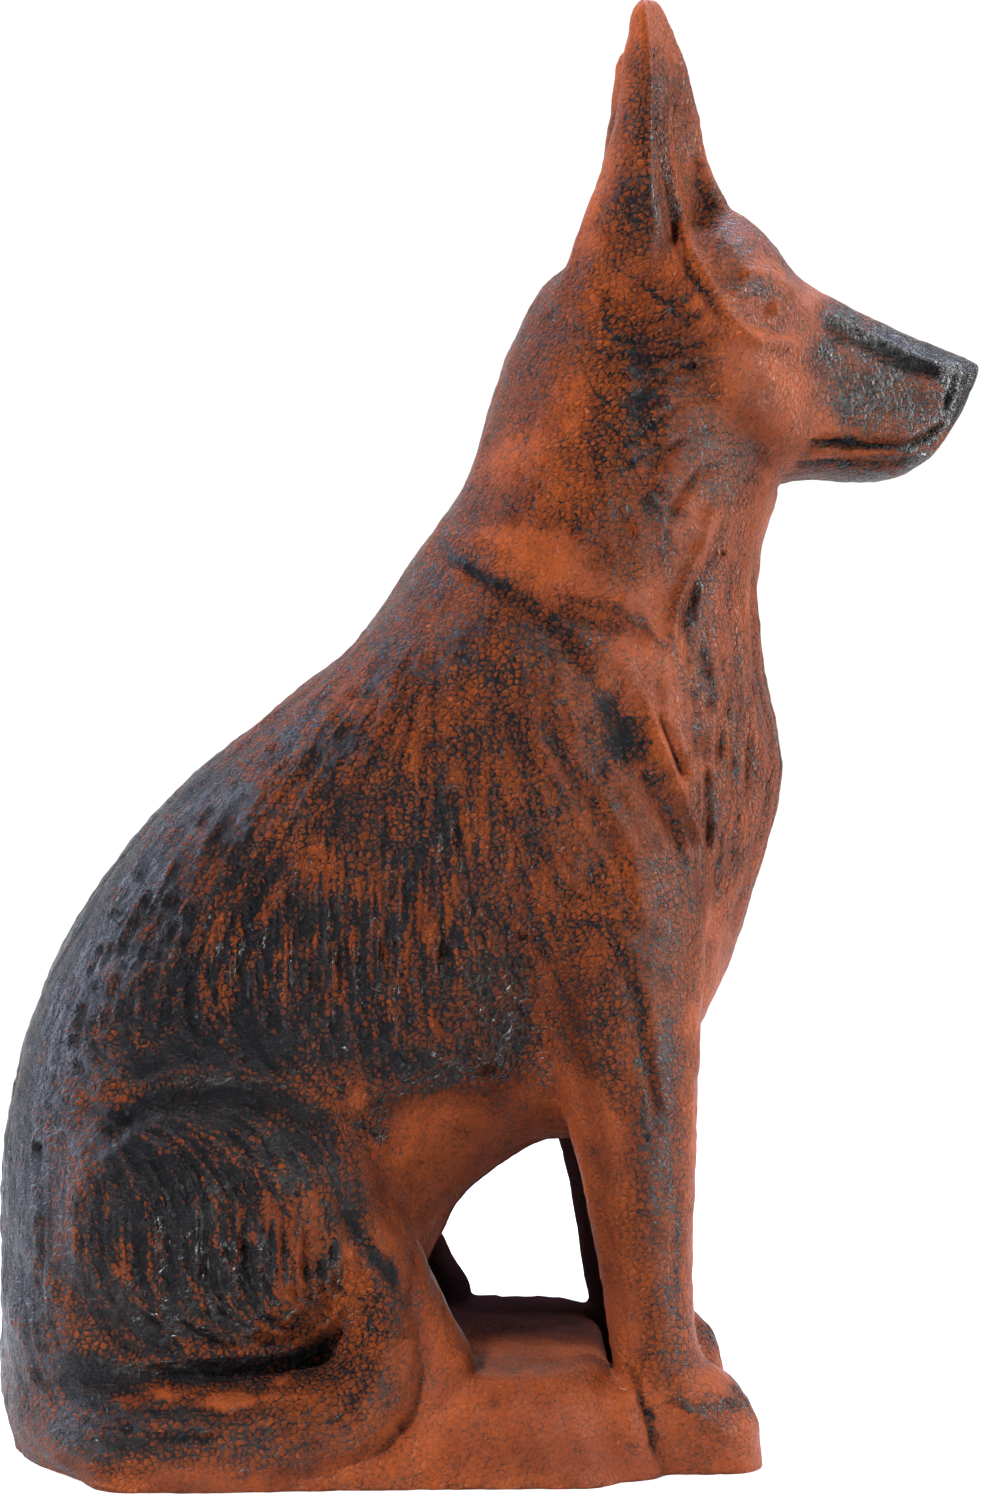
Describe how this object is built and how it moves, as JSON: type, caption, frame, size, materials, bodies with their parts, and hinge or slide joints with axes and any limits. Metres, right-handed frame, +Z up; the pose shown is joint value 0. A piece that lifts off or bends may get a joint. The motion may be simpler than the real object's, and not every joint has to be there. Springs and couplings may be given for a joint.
{
  "type": "cast iron dog statue",
  "caption": "Cast iron statue of a sitting shepherd dog with pricked ears, its tail curled round one side, cast in one with a low base.",
  "frame": {"origin": "centre of the bounding box, on the flat underside that stands on the ground", "axes": "+X where the dog looks, +Y the dog's left, +Z up"},
  "size_m": [0.2764, 0.1206, 0.395],
  "materials": {
    "painted_iron": "terracotta brown paint with a black dry-brushed patina, satin, over sand-cast iron"
  },
  "bodies": {
    "root": {"dog_statue": "painted_iron"}
  },
  "joints": []
}
